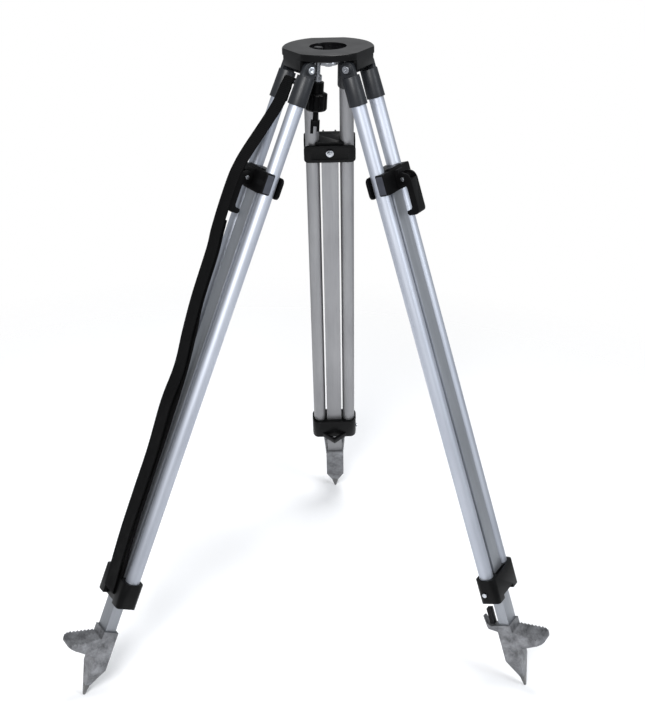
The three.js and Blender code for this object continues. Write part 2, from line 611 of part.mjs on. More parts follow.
/** The lower bracket: closes both tubes, guides the bar, holds the strap's end. */
function lowerBracket({ notchTop = PLAIN_NOTCH_TOP } = {}) {
  const plan = roundedRectangle(
    [BRACKET.inner, BRACKET.outer], [-BRACKET.halfWidth, BRACKET.halfWidth], BRACKET.corner,
  );
  const front = outlineOf([
    [-BRACKET.halfWidth, -BRACKET.top], [-BRACKET.halfWidth, -BRACKET.bottom + BRACKET.lowCorner],
    [-BRACKET.halfWidth + BRACKET.lowCorner * 0.3, -BRACKET.bottom + BRACKET.lowCorner * 0.3],
    [-BRACKET.halfWidth + BRACKET.lowCorner, -BRACKET.bottom],
    [BRACKET.halfWidth - BRACKET.lowCorner, -BRACKET.bottom],
    [BRACKET.halfWidth - BRACKET.lowCorner * 0.3, -BRACKET.bottom + BRACKET.lowCorner * 0.3],
    [BRACKET.halfWidth, -BRACKET.bottom + BRACKET.lowCorner], [BRACKET.halfWidth, -BRACKET.top],
  ]);
  const vee = outlineOf([
    [BRACKET.inner + 1, -VEE.halfWidth], [BRACKET.inner + 1, VEE.halfWidth], [VEE.tip, 0.5], [VEE.tip, -0.5],
  ]);
  const veeHole = outlineOf([
    [BRACKET.inner, -VEE.halfWidth + VEE.wall * 1.4], [BRACKET.inner, VEE.halfWidth - VEE.wall * 1.4],
    [VEE.tip + VEE.wall * 1.5, 0.5], [VEE.tip + VEE.wall * 1.5, -0.5],
  ]);
  const slot = STRAP_SLOT;
  const ends = [-BRACKET.bottom - 1, -BRACKET.top + 1];
  const halfWidth = BAR.width / 2 + 0.4;
  const half = BAR.thickness / 2 + 0.4;
  const screw = BRACKET_SCREW;
  const body = shape({
    add: [plateZ(plan, -BRACKET.bottom, -BRACKET.top)],
    keep: [plateX(front, BRACKET.inner - 1, BRACKET.outer + 1)],
  });
  return shape({
    add: [body, plateZ(vee, -VEE.bottom, -VEE.top)],
    remove: [
      plateZ(veeHole, -VEE.bottom - 1, -VEE.top + 1),
      ...tubePair(TUBE_RADIUS + GAP, -BRACKET_BORE_BOTTOM, -BRACKET.top + 1),
      block([-half, half], [-halfWidth, halfWidth], ends),
      block([slot.inner, slot.outer], [-slot.halfWidth, slot.halfWidth], ends),
      block([slot.inner, BRACKET.outer + 1], [-slot.halfWidth, slot.halfWidth], [ends[0], -notchTop]),
      barY(screw.radius + GAP, -BRACKET.halfWidth - 1, -TUBE_OFFSET, { x: screw.offset, z: -screw.depth, sides: 12 }),
    ],
  });
}

/** The screw that pins one tube in the lower bracket. */
function bracketScrew() {
  const face = -BRACKET.halfWidth - GAP;
  const { offset, depth, radius, headRadius, headHeight } = BRACKET_SCREW;
  const place = { x: offset, z: -depth, sides: 16 };
  const end = -TUBE_OFFSET - TUBE_RADIUS - GAP;
  return shape({
    add: [barY(radius, face - 1, end, place), barY(headRadius, face - headHeight, face, place)],
  });
}

/** The ribbed pedal, as a profile of (x, z) cut to its outline in plan. */
function pedal() {
  const start = SHOE.outer - 1;
  const end = SHOE.outer + PEDAL.length;
  const topAt = (x) => -PEDAL.top - (x - SHOE.outer) * PEDAL.slope;
  const points = [[start, -PEDAL.heel], [start, topAt(start)]];
  const pitch = PEDAL.length / PEDAL_RIBS;
  for (let rib = 0; rib < PEDAL_RIBS; rib += 1) {
    const x = SHOE.outer + rib * pitch;
    points.push([x + pitch * 0.25, topAt(x) - PEDAL_RIB_HEIGHT], [x + pitch * 0.6, topAt(x)]);
  }
  points.push([end, topAt(end) - PEDAL_RIB_HEIGHT], [end, topAt(end) - PEDAL.thickness]);
  points.push([end - PEDAL.length * 0.3, topAt(end) - PEDAL.thickness - 4]);
  const profile = outlineOf(points);
  const wide = PEDAL.endHalfWidth;
  const narrow = PEDAL.halfWidth;
  const plan = outlineOf([
    [start - 1, -narrow], [end - PEDAL_CORNER, -wide], [end - PEDAL_CORNER * 0.3, -wide + PEDAL_CORNER * 0.3],
    [end, -wide + PEDAL_CORNER], [end, wide - PEDAL_CORNER],
    [end - PEDAL_CORNER * 0.3, wide - PEDAL_CORNER * 0.3], [end - PEDAL_CORNER, wide], [start - 1, narrow],
  ]);
  return shape({
    add: [plateY(profile, -wide, wide)],
    keep: [plateZ(plan, -PEDAL.heel - 1, -PEDAL.top + 1)],
  });
}

/** The cast shoe: a socket on the bar, a pedal, and a body that narrows to the steel tip. */
function shoe({ hook = false } = {}) {
  const box = [[SHOE.inner, SHOE.outer], [-SHOE.halfWidth, SHOE.halfWidth]];
  const end = [[SHOE_END.inner, SHOE_END.outer], [-SHOE_END.halfWidth, SHOE_END.halfWidth]];
  const halfWidth = BAR.width / 2 + GAP;
  const half = BAR.thickness / 2 + GAP;
  const add = [
    block(...box, [-SHOE.shoulder, -SHOE.top]),
    taperedBlock(box, -SHOE.shoulder, end, -SHOE_END.depth),
    pedal(),
  ];
  if (hook) {
    add.push(footHook());
  }
  return shape({
    add,
    remove: [block([-half, half], [-halfWidth, halfWidth], [-SHOE.socketBottom, -SHOE.top + 1])],
  });
}

/** The upturned hook on the inner side of one shoe. */
function footHook() {
  const { halfWidth, tipHalfWidth, base, baseBottom, elbow, elbowBottom, tip, tipTop } = FOOT_HOOK;
  const plan = outlineOf([
    [SHOE.inner + 1, -halfWidth], [SHOE.inner + 1, halfWidth], [elbow, halfWidth * 0.7], [tip - 1, tipHalfWidth],
    [tip - 1, -tipHalfWidth], [elbow, -halfWidth * 0.7],
  ]);
  const outline = outlineOf([
    [SHOE.inner + 1, -base], [elbow + 8, -base - 3], [elbow, -base + 2], [tip + 3, -tipTop], [tip, -tipTop - 1],
    [elbow - 3, -elbowBottom + 4], [elbow, -elbowBottom], [SHOE.inner + 1, -baseBottom],
  ]);
  return shape({
    add: [plateY(outline, -halfWidth, halfWidth)],
    keep: [plateZ(plan, -baseBottom - 1, -tipTop + 2)],
  });
}

/** The ribbed rubber block that stands on the hook. */
function hookBuffer() {
  const { inner, outer, halfWidth, top, bottom, rib, ribs } = BUFFER;
  const grooves = [];
  const pitch = (outer - inner) / ribs;
  for (let groove = 1; groove < ribs; groove += 1) {
    const x = inner + groove * pitch;
    for (const side of [-halfWidth, halfWidth]) {
      grooves.push(block([x - rib / 2, x + rib / 2], [side - rib, side + rib], [-bottom - 1, -top + 1]));
    }
  }
  return shape({ add: [block([inner, outer], [-halfWidth, halfWidth], [-bottom, -top])], remove: grooves });
}

function steelTip() {
  const { inset, depth, offset, half } = TIP;
  const top = [
    [SHOE_END.inner + inset, SHOE_END.outer - inset],
    [-SHOE_END.halfWidth + inset, SHOE_END.halfWidth - inset],
  ];
  const point = [[offset - half, offset + half], [-half, half]];
  return taperedBlock(top, -SHOE_END.depth - GAP, point, -depth);
}

function strapBar() {
  const { x, depth, radius, halfLength } = STRAP_BAR;
  return barY(radius, -halfLength, halfLength, { x, z: -depth, sides: 16 });
}

/** The strap's outline in the leg's (x, z) plane: a loop round the bar, a slack run down, a turn, a run back. */
function strap() {
  const half = STRAP_THICKNESS / 2;
  const turn = [];
  for (let step = 1; step < 8; step += 1) {
    const angle = (step * Math.PI) / 8;
    turn.push([
      STRAP_TURN.x + STRAP_TURN.radius * Math.cos(angle),
      STRAP_TURN.depth + STRAP_TURN.radius * Math.sin(angle),
    ]);
  }
  const route = [...STRAP_ROUTE, ...turn, ...STRAP_RETURN];
  const points = route.map(([x, depth]) => new THREE.Vector3(x, -depth, 0));
  const curve = new THREE.CatmullRomCurve3(points, false, 'centripetal');
  const outer = [];
  const inner = [];
  const steps = STRAP_STEPS * 2;
  for (let step = 0; step <= steps; step += 1) {
    const at = curve.getPoint(step / steps);
    const along = curve.getTangent(step / steps);
    outer.push(new THREE.Vector2(at.x - along.y * half, at.y + along.x * half));
    inner.push(new THREE.Vector2(at.x + along.y * half, at.y - along.x * half));
  }
  const band = new THREE.Shape([...outer, ...inner.reverse()]);
  const loopAt = { x: STRAP_BAR.x, z: -STRAP_BAR.depth, sides: 20 };
  return shape({
    add: [
      plateY(band, -STRAP_HALF_WIDTH, STRAP_HALF_WIDTH),
      barY(STRAP_LOOP_RADIUS + STRAP_THICKNESS, -STRAP_LOOP_HALF_WIDTH, STRAP_LOOP_HALF_WIDTH, loopAt),
    ],
    remove: [
      barY(STRAP_LOOP_RADIUS, -STRAP_HALF_WIDTH - 1, STRAP_HALF_WIDTH + 1, loopAt),
      ...tubePair(SLEEVE_BOTTOM_RADIUS + 0.8, -SLEEVE_BOTTOM - 1, 0),
    ],
  });
}

// ---- assembly -----------------------------------------------------------------------------------

function node(name, geometry, material) {
  const mesh = new THREE.Mesh(geometry, MATERIALS[material]);
  mesh.name = name;
  return mesh;
}

/** Mirrors a closed mesh in Y and turns its faces outward again. */
function mirrored(geometry) {
  const copy = geometry.clone().scale(1, -1, 1);
  const index = copy.index.array;
  for (let corner = 0; corner < index.length; corner += 3) {
    [index[corner], index[corner + 1]] = [index[corner + 1], index[corner]];
  }
  return copy;
}

function leg({ name, azimuth, spread }) {
  const group = new THREE.Group();
  group.rotation.order = 'ZYX';
  group.rotation.set(0, -radians(spread), radians(azimuth));
  const angle = radians(azimuth);
  group.position.set(HINGE_RADIUS * Math.cos(angle), HINGE_RADIUS * Math.sin(angle), -HINGE_DROP);

  const carriesStrap = name === 'left';
  const sleeve = hingeSleeve({ barBore: carriesStrap });
  const pieces = [
    ['sleeve_a', sleeve, 'sleeve'],
    ['sleeve_b', mirrored(sleeve), 'sleeve'],
    ['tube_a', tube().translate(0, TUBE_OFFSET, 0), 'aluminium'],
    ['tube_b', tube().translate(0, -TUBE_OFFSET, 0), 'aluminium'],
    ['hinge_bolt', hingeBolt(), 'zinc'],
    ['bar', innerBar(), 'bar'],
    ['clamp_core', clampCore(), 'plastic'],
    ['clamp_plate', clampPlate(), 'plastic'],
    ['clamp_yoke', clampYoke(), 'tab'],
    ['clamp_bolt', clampBolt(), 'zinc'],
    ['lever_pin', leverPin(), 'zinc'],
    ['cam_lever', camLever(), 'plastic'],
    ['bracket', lowerBracket({ notchTop: carriesStrap ? STRAP_NOTCH_TOP : PLAIN_NOTCH_TOP }), 'plastic'],
    ['bracket_screw', bracketScrew(), 'zinc'],
    ['shoe', shoe({ hook: name === 'right' }), 'casting'],
    ['tip', steelTip(), 'steel'],
  ];
  for (const [piece, geometry, material] of pieces) {
    group.add(node(`${name}_${piece}`, geometry, material));
  }
  if (carriesStrap) {
    group.add(node('strap_bar', strapBar(), 'zinc'));
    group.add(node('strap', strap(), 'webbing'));
  }
  if (name === 'right') {
    group.add(node('hook_buffer', hookBuffer(), 'rubber'));
  }
  return group;
}

/** The point of a leg's tip in the head's frame. */
function tipOf({ azimuth, spread }) {
  const angle = radians(azimuth);
  const lean = radians(spread);
  const reach = HINGE_RADIUS + TIP.depth * Math.sin(lean) + TIP.offset * Math.cos(lean);
  const z = -HINGE_DROP - TIP.depth * Math.cos(lean) + TIP.offset * Math.sin(lean);
  return new THREE.Vector3(reach * Math.cos(angle), reach * Math.sin(angle), z);
}

/** The turn that makes the plane through the three tips level. */
function levelling() {
  const [a, b, c] = LEGS.map(tipOf);
  const up = new THREE.Vector3().crossVectors(b.sub(a), c.sub(a)).normalize();
  if (up.z < 0) {
    up.negate();
  }
  return new THREE.Quaternion().setFromUnitVectors(up, new THREE.Vector3(0, 0, 1));
}

function screwAssembly(level) {
  const group = new THREE.Group();
  group.position.set(SCREW_X, SCREW_Y, ARM_TOP + 0.9);
  group.quaternion.copy(level.clone().invert()); // it hangs plumb, whatever the head's lean
  group.add(node('fixing_screw', fixingScrew(), 'zinc'));
  group.add(node('screw_knob', screwKnob(), 'plastic'));
  group.add(node('plumb_hook', plumbHook(), 'plastic'));
  return group;
}

function tripod() {
  const level = levelling();
  const head = new THREE.Group();
  head.add(node('head_plate', headPlate(), 'head'));

  const arm = node('swing_arm', swingArm(), 'zinc');
  arm.position.set(0, ARM_PIVOT_Y, 0);
  arm.rotation.z = ARM_ANGLE;
  const pin = node('arm_pivot', armPivotPin(), 'zinc');
  pin.position.set(0, ARM_PIVOT_Y, 0);
  const washerTop = ARM_TOP - ARM_THICKNESS - GAP;
  const ring = shape({
    add: [barZ(WASHER_RADIUS, washerTop - WASHER_THICKNESS, washerTop)],
    remove: [barZ(SHAFT_RADIUS + 0.6, washerTop - WASHER_THICKNESS - 1, washerTop + 1)],
  });
  const washer = node('slot_washer', ring, 'zinc');
  washer.position.set(SCREW_X, SCREW_Y, 0);
  head.add(arm, pin, washer, screwAssembly(level));
  for (const description of LEGS) {
    head.add(leg(description));
  }
  head.quaternion.copy(level);

  const whole = new THREE.Group();
  whole.add(head);
  whole.updateMatrixWorld(true);
  const box = new THREE.Box3().setFromObject(whole, true);
  const centre = box.getCenter(new THREE.Vector3());
  head.position.set(-centre.x, -centre.y, -box.min.z);
  whole.updateMatrixWorld(true);
  return whole;
}

export default tripod();
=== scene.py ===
"""Surveyor tripod: materials, fine webbing strap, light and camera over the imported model."""
import json
import math

import bpy
from mathutils import Matrix, Vector


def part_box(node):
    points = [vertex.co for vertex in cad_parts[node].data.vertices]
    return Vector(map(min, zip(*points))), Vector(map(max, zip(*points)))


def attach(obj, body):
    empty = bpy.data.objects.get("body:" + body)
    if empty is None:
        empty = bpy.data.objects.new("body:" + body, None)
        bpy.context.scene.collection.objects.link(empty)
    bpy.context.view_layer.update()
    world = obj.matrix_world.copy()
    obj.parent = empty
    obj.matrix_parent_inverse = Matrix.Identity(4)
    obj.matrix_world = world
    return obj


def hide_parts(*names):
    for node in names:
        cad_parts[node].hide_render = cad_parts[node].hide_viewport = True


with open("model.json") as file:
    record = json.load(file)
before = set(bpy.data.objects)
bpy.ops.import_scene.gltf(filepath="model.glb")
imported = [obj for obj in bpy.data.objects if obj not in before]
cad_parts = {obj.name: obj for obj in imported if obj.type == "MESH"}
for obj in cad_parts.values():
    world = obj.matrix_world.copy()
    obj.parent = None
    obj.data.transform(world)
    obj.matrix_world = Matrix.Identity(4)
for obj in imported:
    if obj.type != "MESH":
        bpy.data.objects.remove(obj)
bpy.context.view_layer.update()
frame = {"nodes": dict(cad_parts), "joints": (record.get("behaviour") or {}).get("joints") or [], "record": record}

# ---- numbers that set the look, in metres and degrees unless a name or comment says otherwise -------

LEGS = ("back", "left", "right")
MM = 0.001

CAMERA_PLACE = (-0.0599, -2.4829, 1.6998)
CAMERA_TURN = (64.438, -2.637, -0.287)
CAMERA_LENS = 78.05  # mm
SENSOR_WIDTH = 36.0  # mm
CAMERA_REACH = 20.0

WHITE = (1.0, 1.0, 1.0)
COOL_WHITE = (0.92, 0.96, 1.0)

# name, place, point it faces, width and height, power in watts, colour
LAMPS = (
    ("key", (-0.9, -3.2, 2.6), (0, 0, 0.6), (1.3, 1.3), 120, WHITE),
    ("fill", (2.6, -2.0, 2.2), (0, 0, 0.6), (0.9, 2.0), 40, COOL_WHITE),
    ("top", (0.2, 0.2, 3.6), (0, 0, 1.0), (1.4, 1.4), 60, WHITE),
)
WORLD_COLOR = (0.94, 0.97, 1.0)
WORLD_LIGHT = 0.42

FLOOR_RADIUS = 1.7
FLOOR_SOLID_RADIUS = 0.7
FLOOR_SIDES = 128
FLOOR_HEIGHT = -0.5 * MM
FLOOR_COLOR = (0.96, 0.96, 0.97)
FLOOR_ROUGHNESS = 0.9

# width of a slot's rounded edges, in millimetres
BEVELS = {
    "casting": 0.5, "head": 1.2, "plastic": 0.7, "clamp_tab": 0.7, "sleeve": 0.5, "zinc": 0.4, "steel": 0.2,
}
BEVEL_DEFAULT = 0.3
BEVEL_SEGMENTS = 3
SMOOTH_ANGLE = 32.0
WELD_DISTANCE = 0.01 * MM

# two ends of each colour's range
ZINC = ((0.40, 0.41, 0.44), (0.62, 0.64, 0.68))
STEEL = ((0.10, 0.10, 0.10), (0.22, 0.22, 0.22))
RUBBER = ((0.007, 0.007, 0.008), (0.014, 0.014, 0.015))
PLASTIC = ((0.0012, 0.0012, 0.0013), (0.0035, 0.0035, 0.0038))
TAB_GREY = ((0.042, 0.045, 0.056), (0.060, 0.064, 0.078))
WEBBING = ((0.0008, 0.0008, 0.0009), (0.005, 0.005, 0.0055))
SLEEVE = ((0.009, 0.010, 0.0125), (0.017, 0.019, 0.023))
CASTING = ((0.065, 0.066, 0.070), (0.27, 0.275, 0.29))
HEAD_RIM = ((0.002, 0.002, 0.0022), (0.004, 0.004, 0.0045))
# the head's upward face: a lighter grey that is painted light
HEAD_TOP_PAINTED_LIGHT = ((0.033, 0.033, 0.034), (0.048, 0.048, 0.049))
FRONT_TUBE = ((0.50, 0.53, 0.60), (0.60, 0.63, 0.70))
FRONT_BAR = ((0.36, 0.38, 0.41), (0.46, 0.48, 0.52))
# the back leg's tube and bar colours are darker copies of the front ones: painted shade, as that leg faces away
# from the lamps
TUBE_PAINTED_SHADE = {"left": FRONT_TUBE, "right": FRONT_TUBE, "back": ((0.30, 0.30, 0.31), (0.36, 0.36, 0.37))}
BAR_PAINTED_SHADE = {"left": FRONT_BAR, "right": FRONT_BAR, "back": ((0.29, 0.29, 0.30), (0.35, 0.35, 0.36))}
# the thread's dark colour is painted shade from inside the head's hole
THREAD_PAINTED_SHADE = (0.012, 0.012, 0.013)

# a leg's metal darkens between two heights along the leg, down to this share of its colour: painted shade towards
# the ground, different on each leg
LEG_SHADE_START = -0.55
LEG_SHADE_END = -1.08
LEG_PAINTED_SHADE = {"left": 0.55, "right": 0.72, "back": 0.85}

# two ends of each roughness range
ZINC_ROUGH = (0.2, 0.32)
STEEL_ROUGH = (0.34, 0.5)
RUBBER_ROUGH = (0.5, 0.65)
PLASTIC_ROUGH = (0.26, 0.42)
TAB_ROUGH = (0.36, 0.5)
WEBBING_ROUGH = (0.62, 0.8)
SLEEVE_ROUGH = (0.36, 0.5)
CASTING_ROUGH = (0.38, 0.6)
HEAD_ROUGH = (0.18, 0.6)
TUBE_ROUGH = (0.46, 0.58)
BAR_ROUGH = (0.42, 0.54)

# the middle of a noise's 0 to 1 values, where most of them lie
NOISE_RANGE = (0.3, 0.7)

# noise scales, per metre
MOTTLE_SCALE = 18.0
CASTING_MOTTLE_SCALE = 50.0
PAINT_TONE_SCALE = 30.0
HEAD_GRAIN_SCALE = 1500.0
TAB_GRAIN_SCALE = 1400.0
SCREW_TONE_SCALE = 120.0
SCREW_GRAIN_SCALE = 800.0
WEBBING_TONE_SCALE = 60.0
DRAW_LINE_SCALE = 900.0
DRAW_TONE_SCALE = 22.0

# a drawn metal's noise is stretched along the leg
DRAW_LINE_STRETCH = (1.0, 1.0, 0.012)
DRAW_TONE_STRETCH = (1.0, 1.0, 0.25)

# how squarely a face looks along the head's axis: from rim paint to the top's lighter colour, which is painted
# light
TOP_FACING = (0.96, 0.995)

# length over which the screw's plating gives way to the painted shade on its thread
THREAD_BLEND = 4 * MM

# the grey inset of a clamp's side tab, in millimetres in the leg's own frame: (middle, half size)
TAB_OUT = (10.5, 6.6)
TAB_DEPTH = (-202.8, 16.0)
TAB_SIDE = 44.5

# strap, in millimetres: places are (distance out from the leg, depth from its hinge)
STRAP_HALF_WIDTH = 18.5
STRAP_THICKNESS = 2.4
STRAP_NECK_HALF_WIDTH = 15.0
STRAP_NECK_END = 40.0
STRAP_BAR_CENTRE = (8.0, 26.0)
STRAP_LOOP_RADIUS = 4.3
STRAP_LOOP_START = 252
STRAP_LOOP_STEP = 28
STRAP_LOOP_POINTS = 10
STRAP_DOWN = (
    (12.2, 27), (13, 45), (16, 70), (24, 100), (43.2, 162), (49.6, 190), (52.4, 214), (52.6, 262),
    (50.6, 310), (47, 345), (45, 430), (40, 495), (33, 560), (35.5, 630), (30.5, 720), (30, 800),
    (29, 880), (26, 945), (23.6, 975),
)
STRAP_BACK = (
    (14.9, 975), (15.6, 950), (19.5, 890), (21.5, 780), (23.5, 640), (26, 560), (33, 490),
    (40.4, 430), (42.6, 350), (46, 312), (48.6, 284),
)
STRAP_TURN_CENTRE = (19.2, 990.5)
STRAP_TURN_RADIUS = 4.3
STRAP_TURN_PARTS = 8
STRAP_STEP = 4.0
STRAP_RIB_PITCH = 1.6
WEAVE_HEIGHT = 0.35

# the strap's cross section: (share of its half width, share of its thickness), flat with thicker edges
STRAP_SECTION = (
    (-1.0, 0.0), (-0.97, 0.5), (-0.4, 0.42), (0.4, 0.42), (0.97, 0.5),
    (1.0, 0.0), (0.97, -0.5), (0.4, -0.42), (-0.4, -0.42), (-0.97, -0.5),
)


# ---- places ---------------------------------------------------------------------------------------

def joint(name):
    return next(j for j in frame["joints"] if j["name"] == name)


def leg_matrix(leg):
    """The leg's own frame: origin on its hinge, X away from the tripod's axis, Z up the leg."""
    fold = joint(leg + "_fold")
    across = Vector(fold["axis"]).normalized()
    up = -Vector(joint(leg + "_extend")["axis"]).normalized()
    out = across.cross(up).normalized()
    turn = Matrix((out, across, up)).transposed().to_4x4()
    return Matrix.Translation(Vector(fold["pos_m"])) @ turn


# ---- material helpers -----------------------------------------------------------------------------

class Nodes:
    """A short way to write a material's node tree."""

    def __init__(self, name):
        self.material = bpy.data.materials.new(name)
        self.material.use_nodes = True
        self.tree = self.material.node_tree
        self.shader = self.tree.nodes["Principled BSDF"]

    def add(self, kind, inputs=None, **settings):
        node = self.tree.nodes.new(kind)
        for key, value in settings.items():
            setattr(node, key, value)
        for key, value in (inputs or {}).items():
            node.inputs[key].default_value = value
        return node

    def link(self, source, target):
        self.tree.links.new(source, target)

    def coordinates(self, scale=(1, 1, 1), matrix=None):
        """Object coordinates, turned into a leg's frame where one is given, then scaled."""
        place = self.add("ShaderNodeTexCoord").outputs["Object"]
        if matrix is not None:
            turn = self.add("ShaderNodeMapping")
            turn.inputs["Rotation"].default_value = matrix.inverted().to_euler()
            turn.inputs["Location"].default_value = matrix.inverted().translation
            self.link(place, turn.inputs["Vector"])
            place = turn.outputs["Vector"]
        stretch = self.add("ShaderNodeMapping")
        stretch.inputs["Scale"].default_value = scale
        self.link(place, stretch.inputs["Vector"])
        return stretch.outputs["Vector"]

    def noise(self, vector, scale, detail=3.0, roughness=0.55):
        node = self.add("ShaderNodeTexNoise", {"Scale": scale, "Detail": detail, "Roughness": roughness})
        self.link(vector, node.inputs["Vector"])
        return node.outputs["Fac"]

    def wave(self, vector, pitch_mm, distortion, direction):
        scale = 1.0 / (pitch_mm * MM) / math.tau
        node = self.add("ShaderNodeTexWave", {"Scale": scale, "Distortion": distortion},
                        bands_direction=direction)
        self.link(vector, node.inputs["Vector"])
        return node.outputs["Fac"]

    def arithmetic(self, operation, value, other=None):
        """One step of arithmetic on a socket, with a number or a second socket."""
        node = self.add("ShaderNodeMath", operation=operation)
        self.link(value, node.inputs[0])
        if isinstance(other, bpy.types.NodeSocket):
            self.link(other, node.inputs[1])
        elif other is not None:
            node.inputs[1].default_value = other
        return node.outputs["Value"]

    def remap(self, source, start, end, low=0.0, high=1.0):
        """Maps a value between start and end onto low to high."""
        node = self.add("ShaderNodeMapRange", {
            "From Min": start, "From Max": end, "To Min": low, "To Max": high})
        self.link(source, node.inputs["Value"])
        return node.outputs["Result"]

    def spread(self, source, low, high):
        """Maps a noise onto low to high."""
        return self.remap(source, *NOISE_RANGE, low, high)

    def ramp(self, source, low, high, start=NOISE_RANGE[0], end=NOISE_RANGE[1]):
        """Maps a 0 to 1 value between start and end onto two colours."""
        node = self.add("ShaderNodeValToRGB")
        node.color_ramp.elements[0].position = start
        node.color_ramp.elements[1].position = end
        node.color_ramp.elements[0].color = (*low, 1)
        node.color_ramp.elements[1].color = (*high, 1)
        self.link(source, node.inputs["Fac"])
        return node.outputs["Color"]

    def mix(self, share, first, second):
        """First colour where share is 0, second where it is 1; second is a socket or a plain colour."""
        node = self.add("ShaderNodeMix", data_type="RGBA")
        self.link(share, node.inputs["Factor"])
        self.link(first, node.inputs["A"])
        if isinstance(second, bpy.types.NodeSocket):
            self.link(second, node.inputs["B"])
        else:
            node.inputs["B"].default_value = (*second, 1)
        return node.outputs["Result"]

    def axes(self, vector):
        node = self.add("ShaderNodeSeparateXYZ")
        self.link(vector, node.inputs["Vector"])
        return node.outputs

    def bump(self, source, height_mm, strength=0.5):
        node = self.add("ShaderNodeBump", {"Strength": strength, "Distance": height_mm * MM})
        self.link(source, node.inputs["Height"])
        self.link(node.outputs["Normal"], self.shader.inputs["Normal"])

    def surface(self, color, roughness, metallic=0.0, specular=0.5):
        self.link(color, self.shader.inputs["Base Color"])
        self.link(roughness, self.shader.inputs["Roughness"])
        self.shader.inputs["Metallic"].default_value = metallic
        self.shader.inputs["Specular IOR Level"].default_value = specular
        return self.material


# ---- materials ------------------------------------------------------------------------------------

def grained(name, colors, rough, metallic, pitch_mm, height_mm, mottle=MOTTLE_SCALE, specular=0.5):
    """Mottled colour over a fine grain: paint, moulded plastic, rubber and cast metal."""
    n = Nodes(name)
    place = n.coordinates()
    cloud = n.noise(place, mottle, detail=7.0, roughness=0.7)
    grain = n.noise(place, 1.0 / (pitch_mm * MM), detail=2.0)
    n.bump(grain, height_mm)
    return n.surface(n.ramp(cloud, *colors), n.spread(grain, *rough), metallic, specular)


def drawn_metal(name, leg, colors, rough):
    """Anodised extrusion: faint draw lines along the leg, slow changes of tone, and painted shade darkening it
    towards the ground.
    """
    n = Nodes(name)
    matrix = leg_matrix(leg)
    lines = n.noise(n.coordinates(DRAW_LINE_STRETCH, matrix), DRAW_LINE_SCALE, detail=2.0)
    cloud = n.noise(n.coordinates(DRAW_TONE_STRETCH, matrix), DRAW_TONE_SCALE)
    n.bump(lines, height_mm=0.05, strength=0.12)
    along = n.axes(n.coordinates(matrix=matrix))["Z"]
    color = n.add("ShaderNodeVectorMath", operation="SCALE")
    n.link(n.ramp(cloud, *colors), color.inputs[0])
    # painted shade: the colour is scaled down towards the ground
    n.link(n.remap(along, LEG_SHADE_START, LEG_SHADE_END, 1.0, LEG_PAINTED_SHADE[leg]), color.inputs["Scale"])
    return n.surface(color.outputs["Vector"], n.spread(lines, *rough), metallic=0.9)


def webbing(name):
    """Black nylon: a weave from two crossing waves, one along the strap and one across it."""
    n = Nodes(name)
    place = n.coordinates(matrix=leg_matrix("left"))
    ribs = n.wave(place, STRAP_RIB_PITCH, distortion=0.4, direction="Z")
    warp = n.wave(place, STRAP_RIB_PITCH, distortion=0.2, direction="Y")
    weave = n.arithmetic("MULTIPLY", ribs, warp)
    n.bump(weave, WEAVE_HEIGHT, strength=0.8)
    n.shader.inputs["Sheen Weight"].default_value = 0.02
    n.shader.inputs["Sheen Roughness"].default_value = 0.4
    color = n.ramp(weave, *WEBBING, start=0.1, end=0.8)
    rough = n.spread(n.noise(place, WEBBING_TONE_SCALE), *WEBBING_ROUGH)
    return n.surface(color, rough, specular=0.05)


def head_paint(name):
    """Gloss black rim and lugs; the instrument face on top is matt, and its lighter grey there is painted light on
    the upward face.
    """
    n = Nodes(name)
    place = n.coordinates()
    cloud = n.noise(place, PAINT_TONE_SCALE)
    facing = n.add("ShaderNodeVectorMath", operation="DOT_PRODUCT")
    facing.inputs[1].default_value = frame["record"]["mounts"][0]["axis"]
    n.link(n.add("ShaderNodeNewGeometry").outputs["Normal"], facing.inputs[0])
    top = n.remap(facing.outputs["Value"], *TOP_FACING)
    # faces looking up get the lighter colour, which is painted light
    color = n.mix(top, n.ramp(cloud, *HEAD_RIM), n.ramp(cloud, *HEAD_TOP_PAINTED_LIGHT))
    n.bump(n.noise(place, HEAD_GRAIN_SCALE, detail=2.0), height_mm=0.04)
    return n.surface(color, n.remap(top, 0.0, 1.0, *HEAD_ROUGH), specular=0.22)


def screw_steel(name):
    """Bright plated shaft below a thread painted dark, which is painted shade inside the head's hole."""
    n = Nodes(name)
    place = n.coordinates()
    washer_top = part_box("slot_washer")[1][2]
    thread = n.remap(n.axes(place)["Z"], washer_top, washer_top + THREAD_BLEND)
    # painted shade: the thread above the washer is coloured near black
    color = n.mix(thread, n.ramp(n.noise(place, SCREW_TONE_SCALE), *ZINC), THREAD_PAINTED_SHADE)
    grain = n.noise(place, SCREW_GRAIN_SCALE)
    n.bump(grain, height_mm=0.03)
    return n.surface(color, n.spread(grain, *ZINC_ROUGH), metallic=1.0)


def tab_plastic(name, leg):
    """Black moulding whose two flat side tabs are inset in grey."""
    n = Nodes(name)
    place = n.axes(n.coordinates(matrix=leg_matrix(leg)))
    inset = n.arithmetic("GREATER_THAN", n.arithmetic("ABSOLUTE", place["Y"]), TAB_SIDE * MM)
    for axis, (middle, half) in (("X", TAB_OUT), ("Z", TAB_DEPTH)):
        off = n.arithmetic("ABSOLUTE", n.arithmetic("SUBTRACT", place[axis], middle * MM))
        inset = n.arithmetic("MULTIPLY", inset, n.arithmetic("LESS_THAN", off, half * MM))
    cloud = n.noise(n.coordinates(), PAINT_TONE_SCALE)
    color = n.mix(inset, n.ramp(cloud, *PLASTIC), n.ramp(cloud, *TAB_GREY))
    grain = n.noise(n.coordinates(), TAB_GRAIN_SCALE, detail=2.0)
    n.bump(grain, height_mm=0.06)
    return n.surface(color, n.spread(grain, *TAB_ROUGH), specular=0.1)


